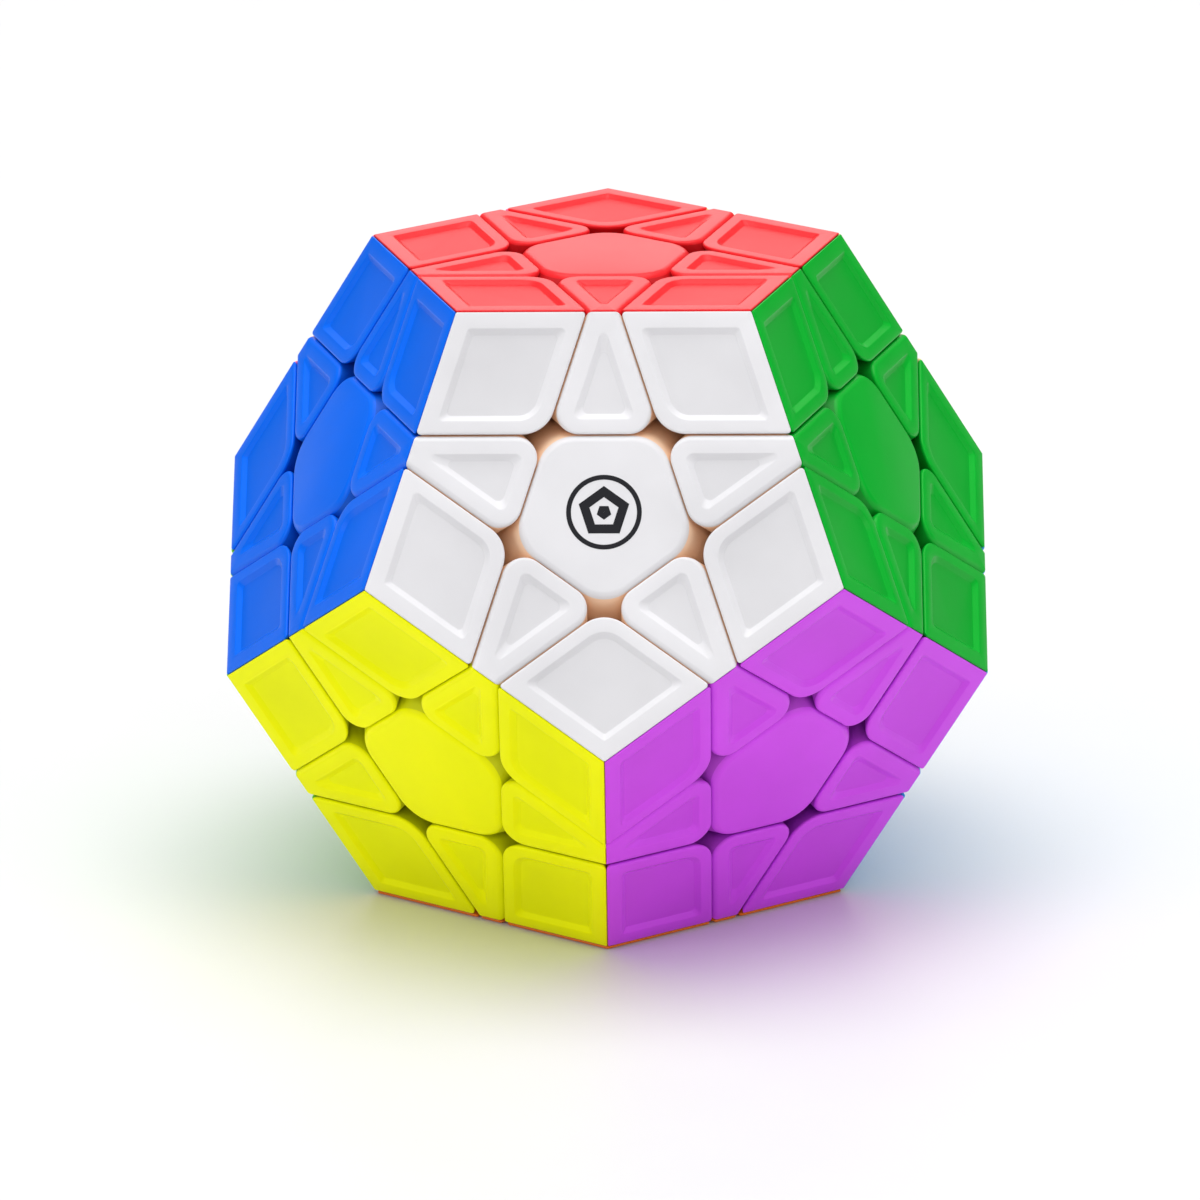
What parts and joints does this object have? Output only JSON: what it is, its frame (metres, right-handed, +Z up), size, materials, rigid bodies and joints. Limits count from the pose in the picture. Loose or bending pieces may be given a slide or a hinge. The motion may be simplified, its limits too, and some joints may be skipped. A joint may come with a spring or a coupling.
{
  "type": "dodecahedron twisty puzzle",
  "caption": "Twelve-sided twisty puzzle with a different plastic colour on each pentagonal face and turning layers of centre, edge and corner pieces.",
  "frame": {"origin": "middle of the bottom face, where the puzzle rests", "axes": "+Z up through the red face; -Y towards the white face; the five-fold axis of the red and orange faces lies along Z"},
  "size_m": [0.0968, 0.1018, 0.0824],
  "materials": {
    "plastic_red": "smooth gloss, moulded in red",
    "plastic_white": "smooth gloss, moulded in white",
    "plastic_green": "smooth gloss, moulded in green",
    "plastic_cream": "smooth gloss, moulded in cream",
    "plastic_pink": "smooth gloss, moulded in pink",
    "plastic_blue": "smooth gloss, moulded in blue",
    "plastic_purple": "smooth gloss, moulded in purple",
    "plastic_light_blue": "smooth gloss, moulded in light blue",
    "plastic_grey": "smooth gloss, moulded in grey",
    "plastic_light_green": "smooth gloss, moulded in light green",
    "plastic_yellow": "smooth gloss, moulded in yellow",
    "plastic_orange": "smooth gloss, moulded in orange",
    "core_plastic": "dark matt moulding",
    "screw_steel": "zinc plated",
    "spring_steel": "bright drawn wire"
  },
  "bodies": {
    "frame_core": {"core": "core_plastic", "tension_screw": "screw_steel", "tension_spring": "spring_steel", "centre_orange": "plastic_orange"},
    "centre_red": {"centre_red": "plastic_red"},
    "centre_white": {"centre_white": "plastic_white"},
    "centre_green": {"centre_green": "plastic_green"},
    "centre_cream": {"centre_cream": "plastic_cream"},
    "centre_pink": {"centre_pink": "plastic_pink"},
    "centre_blue": {"centre_blue": "plastic_blue"},
    "centre_purple": {"centre_purple_edge_orange": "plastic_purple"},
    "centre_light_blue": {"centre_light_blue_edge_orange": "plastic_light_blue"},
    "centre_grey": {"centre_grey_edge_orange": "plastic_grey"},
    "centre_light_green": {"centre_light_green_edge_orange": "plastic_light_green"},
    "centre_yellow": {"centre_yellow_edge_orange": "plastic_yellow"},
    "edge_red_white": {"edge_red_white": "plastic_red"},
    "edge_red_green": {"edge_red_green": "plastic_red"},
    "edge_red_cream": {"edge_red_cream": "plastic_red"},
    "edge_red_pink": {"edge_red_pink": "plastic_red"},
    "edge_red_blue": {"edge_red_blue": "plastic_red"},
    "edge_white_green": {"edge_white_green": "plastic_white"},
    "edge_white_blue": {"edge_white_blue": "plastic_white"},
    "edge_white_purple": {"edge_white_purple": "plastic_white"},
    "edge_white_yellow": {"edge_white_yellow": "plastic_white"},
    "edge_green_cream": {"edge_green_cream": "plastic_green"},
    "edge_green_purple": {"edge_green_purple": "plastic_green"},
    "edge_green_light_blue": {"edge_green_light_blue": "plastic_green"},
    "edge_cream_pink": {"edge_cream_pink": "plastic_cream"},
    "edge_cream_light_blue": {"edge_cream_light_blue": "plastic_cream"},
    "edge_cream_grey": {"edge_cream_grey": "plastic_cream"},
    "edge_pink_blue": {"edge_pink_blue": "plastic_pink"},
    "edge_pink_grey": {"edge_pink_grey": "plastic_pink"},
    "edge_pink_light_green": {"edge_pink_light_green": "plastic_pink"},
    "edge_blue_light_green": {"edge_blue_light_green": "plastic_blue"},
    "edge_blue_yellow": {"edge_blue_yellow": "plastic_blue"},
    "edge_purple_light_blue": {"edge_purple_light_blue": "plastic_purple", "corner_purple_light_blue_orange": "plastic_purple"},
    "edge_purple_yellow": {"edge_purple_yellow": "plastic_purple", "corner_purple_yellow_orange": "plastic_purple"},
    "edge_light_blue_grey": {"edge_light_blue_grey": "plastic_light_blue", "corner_light_blue_grey_orange": "plastic_light_blue"},
    "edge_grey_light_green": {"edge_grey_light_green": "plastic_grey", "corner_grey_light_green_orange": "plastic_grey"},
    "edge_light_green_yellow": {"edge_light_green_yellow": "plastic_light_green", "corner_light_green_yellow_orange": "plastic_light_green"},
    "corner_red_white_green": {"corner_red_white_green": "plastic_red"},
    "corner_red_white_blue": {"corner_red_white_blue": "plastic_red"},
    "corner_red_green_cream": {"corner_red_green_cream": "plastic_red"},
    "corner_red_cream_pink": {"corner_red_cream_pink": "plastic_red"},
    "corner_red_pink_blue": {"corner_red_pink_blue": "plastic_red"},
    "corner_white_green_purple": {"corner_white_green_purple": "plastic_white"},
    "corner_white_blue_yellow": {"corner_white_blue_yellow": "plastic_white"},
    "corner_white_purple_yellow": {"corner_white_purple_yellow": "plastic_white"},
    "corner_green_cream_light_blue": {"corner_green_cream_light_blue": "plastic_green"},
    "corner_green_purple_light_blue": {"corner_green_purple_light_blue": "plastic_green"},
    "corner_cream_pink_grey": {"corner_cream_pink_grey": "plastic_cream"},
    "corner_cream_light_blue_grey": {"corner_cream_light_blue_grey": "plastic_cream"},
    "corner_pink_blue_light_green": {"corner_pink_blue_light_green": "plastic_pink"},
    "corner_pink_grey_light_green": {"corner_pink_grey_light_green": "plastic_pink"},
    "corner_blue_light_green_yellow": {"corner_blue_light_green_yellow": "plastic_blue"}
  },
  "joints": [
    {"name": "turn_red", "type": "hinge", "parent": "frame_core", "child": "centre_red", "pos_m": [0, 0, 0.0412], "axis": [0, 0, 1], "continuous": true},
    {"name": "turn_white", "type": "hinge", "parent": "frame_core", "child": "centre_white", "pos_m": [0, 0, 0.0412], "axis": [0, -0.8944, 0.4472], "range_deg": [-360, 360]},
    {"name": "turn_green", "type": "hinge", "parent": "frame_core", "child": "centre_green", "pos_m": [0, 0, 0.0412], "axis": [0.8507, -0.2764, 0.4472], "range_deg": [-360, 360]},
    {"name": "turn_cream", "type": "hinge", "parent": "frame_core", "child": "centre_cream", "pos_m": [0, 0, 0.0412], "axis": [0.5257, 0.7236, 0.4472], "range_deg": [-360, 360]},
    {"name": "turn_pink", "type": "hinge", "parent": "frame_core", "child": "centre_pink", "pos_m": [0, 0, 0.0412], "axis": [-0.5257, 0.7236, 0.4472], "range_deg": [-360, 360]},
    {"name": "turn_blue", "type": "hinge", "parent": "frame_core", "child": "centre_blue", "pos_m": [0, 0, 0.0412], "axis": [-0.8507, -0.2764, 0.4472], "range_deg": [-360, 360]},
    {"name": "turn_purple", "type": "hinge", "parent": "frame_core", "child": "centre_purple", "pos_m": [0, 0, 0.0412], "axis": [0.5257, -0.7236, -0.4472], "continuous": true},
    {"name": "turn_light_blue", "type": "hinge", "parent": "frame_core", "child": "centre_light_blue", "pos_m": [0, 0, 0.0412], "axis": [0.8507, 0.2764, -0.4472], "range_deg": [-360, 360]},
    {"name": "turn_grey", "type": "hinge", "parent": "frame_core", "child": "centre_grey", "pos_m": [0, 0, 0.0412], "axis": [0, 0.8944, -0.4472], "range_deg": [-360, 360]},
    {"name": "turn_light_green", "type": "hinge", "parent": "frame_core", "child": "centre_light_green", "pos_m": [0, 0, 0.0412], "axis": [-0.8507, 0.2764, -0.4472], "continuous": true},
    {"name": "turn_yellow", "type": "hinge", "parent": "frame_core", "child": "centre_yellow", "pos_m": [0, 0, 0.0412], "axis": [-0.5257, -0.7236, -0.4472], "range_deg": [-360, 360]},
    {"name": "edge_red_white_about_white", "type": "hinge", "parent": "centre_red", "child": "edge_red_white", "pos_m": [0, 0, 0.0412], "axis": [0, -0.8944, 0.4472], "range_deg": [-360, 360]},
    {"name": "edge_red_green_about_green", "type": "hinge", "parent": "centre_red", "child": "edge_red_green", "pos_m": [0, 0, 0.0412], "axis": [0.8507, -0.2764, 0.4472], "range_deg": [-360, 360]},
    {"name": "edge_red_cream_about_cream", "type": "hinge", "parent": "centre_red", "child": "edge_red_cream", "pos_m": [0, 0, 0.0412], "axis": [0.5257, 0.7236, 0.4472], "range_deg": [-360, 360]},
    {"name": "edge_red_pink_about_pink", "type": "hinge", "parent": "centre_red", "child": "edge_red_pink", "pos_m": [0, 0, 0.0412], "axis": [-0.5257, 0.7236, 0.4472], "range_deg": [-360, 360]},
    {"name": "edge_red_blue_about_blue", "type": "hinge", "parent": "centre_red", "child": "edge_red_blue", "pos_m": [0, 0, 0.0412], "axis": [-0.8507, -0.2764, 0.4472], "range_deg": [-360, 360]},
    {"name": "edge_white_green_about_green", "type": "hinge", "parent": "centre_white", "child": "edge_white_green", "pos_m": [0, 0, 0.0412], "axis": [0.8507, -0.2764, 0.4472], "range_deg": [-360, 360]},
    {"name": "edge_white_blue_about_white", "type": "hinge", "parent": "centre_blue", "child": "edge_white_blue", "pos_m": [0, 0, 0.0412], "axis": [0, -0.8944, 0.4472], "range_deg": [-360, 360]},
    {"name": "edge_white_purple_about_purple", "type": "hinge", "parent": "centre_white", "child": "edge_white_purple", "pos_m": [0, 0, 0.0412], "axis": [0.5257, -0.7236, -0.4472], "continuous": true},
    {"name": "edge_white_yellow_about_white", "type": "hinge", "parent": "centre_yellow", "child": "edge_white_yellow", "pos_m": [0, 0, 0.0412], "axis": [0, -0.8944, 0.4472], "range_deg": [-360, 360]},
    {"name": "edge_green_cream_about_cream", "type": "hinge", "parent": "centre_green", "child": "edge_green_cream", "pos_m": [0, 0, 0.0412], "axis": [0.5257, 0.7236, 0.4472], "range_deg": [-360, 360]},
    {"name": "edge_green_purple_about_green", "type": "hinge", "parent": "centre_purple", "child": "edge_green_purple", "pos_m": [0, 0, 0.0412], "axis": [0.8507, -0.2764, 0.4472], "range_deg": [-360, 360]},
    {"name": "edge_green_light_blue_about_light_blue", "type": "hinge", "parent": "centre_green", "child": "edge_green_light_blue", "pos_m": [0, 0, 0.0412], "axis": [0.8507, 0.2764, -0.4472], "range_deg": [-360, 360]},
    {"name": "edge_cream_pink_about_pink", "type": "hinge", "parent": "centre_cream", "child": "edge_cream_pink", "pos_m": [0, 0, 0.0412], "axis": [-0.5257, 0.7236, 0.4472], "range_deg": [-360, 360]},
    {"name": "edge_cream_light_blue_about_cream", "type": "hinge", "parent": "centre_light_blue", "child": "edge_cream_light_blue", "pos_m": [0, 0, 0.0412], "axis": [0.5257, 0.7236, 0.4472], "range_deg": [-360, 360]},
    {"name": "edge_cream_grey_about_grey", "type": "hinge", "parent": "centre_cream", "child": "edge_cream_grey", "pos_m": [0, 0, 0.0412], "axis": [0, 0.8944, -0.4472], "range_deg": [-360, 360]},
    {"name": "edge_pink_blue_about_blue", "type": "hinge", "parent": "centre_pink", "child": "edge_pink_blue", "pos_m": [0, 0, 0.0412], "axis": [-0.8507, -0.2764, 0.4472], "range_deg": [-360, 360]},
    {"name": "edge_pink_grey_about_pink", "type": "hinge", "parent": "centre_grey", "child": "edge_pink_grey", "pos_m": [0, 0, 0.0412], "axis": [-0.5257, 0.7236, 0.4472], "range_deg": [-360, 360]},
    {"name": "edge_pink_light_green_about_light_green", "type": "hinge", "parent": "centre_pink", "child": "edge_pink_light_green", "pos_m": [0, 0, 0.0412], "axis": [-0.8507, 0.2764, -0.4472], "continuous": true},
    {"name": "edge_blue_light_green_about_blue", "type": "hinge", "parent": "centre_light_green", "child": "edge_blue_light_green", "pos_m": [0, 0, 0.0412], "axis": [-0.8507, -0.2764, 0.4472], "range_deg": [-360, 360]},
    {"name": "edge_blue_yellow_about_yellow", "type": "hinge", "parent": "centre_blue", "child": "edge_blue_yellow", "pos_m": [0, 0, 0.0412], "axis": [-0.5257, -0.7236, -0.4472], "range_deg": [-360, 360]},
    {"name": "edge_purple_light_blue_about_light_blue", "type": "hinge", "parent": "centre_purple", "child": "edge_purple_light_blue", "pos_m": [0, 0, 0.0412], "axis": [0.8507, 0.2764, -0.4472], "range_deg": [-360, 360]},
    {"name": "edge_purple_yellow_about_purple", "type": "hinge", "parent": "centre_yellow", "child": "edge_purple_yellow", "pos_m": [0, 0, 0.0412], "axis": [0.5257, -0.7236, -0.4472], "continuous": true},
    {"name": "edge_light_blue_grey_about_grey", "type": "hinge", "parent": "centre_light_blue", "child": "edge_light_blue_grey", "pos_m": [0, 0, 0.0412], "axis": [0, 0.8944, -0.4472], "range_deg": [-360, 360]},
    {"name": "edge_grey_light_green_about_light_green", "type": "hinge", "parent": "centre_grey", "child": "edge_grey_light_green", "pos_m": [0, 0, 0.0412], "axis": [-0.8507, 0.2764, -0.4472], "continuous": true},
    {"name": "edge_light_green_yellow_about_yellow", "type": "hinge", "parent": "centre_light_green", "child": "edge_light_green_yellow", "pos_m": [0, 0, 0.0412], "axis": [-0.5257, -0.7236, -0.4472], "range_deg": [-360, 360]},
    {"name": "corner_red_white_green_about_white", "type": "hinge", "parent": "edge_red_green", "child": "corner_red_white_green", "pos_m": [0, 0, 0.0412], "axis": [0, -0.8944, 0.4472], "range_deg": [-360, 360]},
    {"name": "corner_red_white_blue_about_white", "type": "hinge", "parent": "edge_red_blue", "child": "corner_red_white_blue", "pos_m": [0, 0, 0.0412], "axis": [0, -0.8944, 0.4472], "range_deg": [-360, 360]},
    {"name": "corner_red_green_cream_about_red", "type": "hinge", "parent": "edge_green_cream", "child": "corner_red_green_cream", "pos_m": [0, 0, 0.0412], "axis": [0, 0, 1], "continuous": true},
    {"name": "corner_red_cream_pink_about_red", "type": "hinge", "parent": "edge_cream_pink", "child": "corner_red_cream_pink", "pos_m": [0, 0, 0.0412], "axis": [0, 0, 1], "continuous": true},
    {"name": "corner_red_pink_blue_about_red", "type": "hinge", "parent": "edge_pink_blue", "child": "corner_red_pink_blue", "pos_m": [0, 0, 0.0412], "axis": [0, 0, 1], "continuous": true},
    {"name": "corner_white_green_purple_about_white", "type": "hinge", "parent": "edge_green_purple", "child": "corner_white_green_purple", "pos_m": [0, 0, 0.0412], "axis": [0, -0.8944, 0.4472], "range_deg": [-360, 360]},
    {"name": "corner_white_blue_yellow_about_white", "type": "hinge", "parent": "edge_blue_yellow", "child": "corner_white_blue_yellow", "pos_m": [0, 0, 0.0412], "axis": [0, -0.8944, 0.4472], "range_deg": [-360, 360]},
    {"name": "corner_white_purple_yellow_about_yellow", "type": "hinge", "parent": "edge_white_purple", "child": "corner_white_purple_yellow", "pos_m": [0, 0, 0.0412], "axis": [-0.5257, -0.7236, -0.4472], "range_deg": [-360, 360]},
    {"name": "corner_green_cream_light_blue_about_green", "type": "hinge", "parent": "edge_cream_light_blue", "child": "corner_green_cream_light_blue", "pos_m": [0, 0, 0.0412], "axis": [0.8507, -0.2764, 0.4472], "range_deg": [-360, 360]},
    {"name": "corner_green_purple_light_blue_about_purple", "type": "hinge", "parent": "edge_green_light_blue", "child": "corner_green_purple_light_blue", "pos_m": [0, 0, 0.0412], "axis": [0.5257, -0.7236, -0.4472], "continuous": true},
    {"name": "corner_cream_pink_grey_about_pink", "type": "hinge", "parent": "edge_cream_grey", "child": "corner_cream_pink_grey", "pos_m": [0, 0, 0.0412], "axis": [-0.5257, 0.7236, 0.4472], "range_deg": [-360, 360]},
    {"name": "corner_cream_light_blue_grey_about_light_blue", "type": "hinge", "parent": "edge_cream_grey", "child": "corner_cream_light_blue_grey", "pos_m": [0, 0, 0.0412], "axis": [0.8507, 0.2764, -0.4472], "range_deg": [-360, 360]},
    {"name": "corner_pink_blue_light_green_about_pink", "type": "hinge", "parent": "edge_blue_light_green", "child": "corner_pink_blue_light_green", "pos_m": [0, 0, 0.0412], "axis": [-0.5257, 0.7236, 0.4472], "range_deg": [-360, 360]},
    {"name": "corner_pink_grey_light_green_about_light_green", "type": "hinge", "parent": "edge_pink_grey", "child": "corner_pink_grey_light_green", "pos_m": [0, 0, 0.0412], "axis": [-0.8507, 0.2764, -0.4472], "continuous": true},
    {"name": "corner_blue_light_green_yellow_about_yellow", "type": "hinge", "parent": "edge_blue_light_green", "child": "corner_blue_light_green_yellow", "pos_m": [0, 0, 0.0412], "axis": [-0.5257, -0.7236, -0.4472], "range_deg": [-360, 360]}
  ],
  "couplings": [
    {"joint": "edge_red_white_about_white", "follows": "turn_white", "ratio": 1},
    {"joint": "edge_red_green_about_green", "follows": "turn_green", "ratio": 1},
    {"joint": "edge_red_cream_about_cream", "follows": "turn_cream", "ratio": 1},
    {"joint": "edge_red_pink_about_pink", "follows": "turn_pink", "ratio": 1},
    {"joint": "edge_red_blue_about_blue", "follows": "turn_blue", "ratio": 1},
    {"joint": "edge_white_green_about_green", "follows": "turn_green", "ratio": 1},
    {"joint": "edge_white_blue_about_white", "follows": "turn_white", "ratio": 1},
    {"joint": "edge_white_purple_about_purple", "follows": "turn_purple", "ratio": 1},
    {"joint": "edge_white_yellow_about_white", "follows": "turn_white", "ratio": 1},
    {"joint": "edge_green_cream_about_cream", "follows": "turn_cream", "ratio": 1},
    {"joint": "edge_green_purple_about_green", "follows": "turn_green", "ratio": 1},
    {"joint": "edge_green_light_blue_about_light_blue", "follows": "turn_light_blue", "ratio": 1},
    {"joint": "edge_cream_pink_about_pink", "follows": "turn_pink", "ratio": 1},
    {"joint": "edge_cream_light_blue_about_cream", "follows": "turn_cream", "ratio": 1},
    {"joint": "edge_cream_grey_about_grey", "follows": "turn_grey", "ratio": 1},
    {"joint": "edge_pink_blue_about_blue", "follows": "turn_blue", "ratio": 1},
    {"joint": "edge_pink_grey_about_pink", "follows": "turn_pink", "ratio": 1},
    {"joint": "edge_pink_light_green_about_light_green", "follows": "turn_light_green", "ratio": 1},
    {"joint": "edge_blue_light_green_about_blue", "follows": "turn_blue", "ratio": 1},
    {"joint": "edge_blue_yellow_about_yellow", "follows": "turn_yellow", "ratio": 1},
    {"joint": "edge_purple_light_blue_about_light_blue", "follows": "turn_light_blue", "ratio": 1},
    {"joint": "edge_purple_yellow_about_purple", "follows": "turn_purple", "ratio": 1},
    {"joint": "edge_light_blue_grey_about_grey", "follows": "turn_grey", "ratio": 1},
    {"joint": "edge_grey_light_green_about_light_green", "follows": "turn_light_green", "ratio": 1},
    {"joint": "edge_light_green_yellow_about_yellow", "follows": "turn_yellow", "ratio": 1},
    {"joint": "corner_red_white_green_about_white", "follows": "turn_white", "ratio": 1},
    {"joint": "corner_red_white_blue_about_white", "follows": "turn_white", "ratio": 1},
    {"joint": "corner_red_green_cream_about_red", "follows": "turn_red", "ratio": 1},
    {"joint": "corner_red_cream_pink_about_red", "follows": "turn_red", "ratio": 1},
    {"joint": "corner_red_pink_blue_about_red", "follows": "turn_red", "ratio": 1},
    {"joint": "corner_white_green_purple_about_white", "follows": "turn_white", "ratio": 1},
    {"joint": "corner_white_blue_yellow_about_white", "follows": "turn_white", "ratio": 1},
    {"joint": "corner_white_purple_yellow_about_yellow", "follows": "turn_yellow", "ratio": 1},
    {"joint": "corner_green_cream_light_blue_about_green", "follows": "turn_green", "ratio": 1},
    {"joint": "corner_green_purple_light_blue_about_purple", "follows": "turn_purple", "ratio": 1},
    {"joint": "corner_cream_pink_grey_about_pink", "follows": "turn_pink", "ratio": 1},
    {"joint": "corner_cream_light_blue_grey_about_light_blue", "follows": "turn_light_blue", "ratio": 1},
    {"joint": "corner_pink_blue_light_green_about_pink", "follows": "turn_pink", "ratio": 1},
    {"joint": "corner_pink_grey_light_green_about_light_green", "follows": "turn_light_green", "ratio": 1},
    {"joint": "corner_blue_light_green_yellow_about_yellow", "follows": "turn_yellow", "ratio": 1}
  ]
}
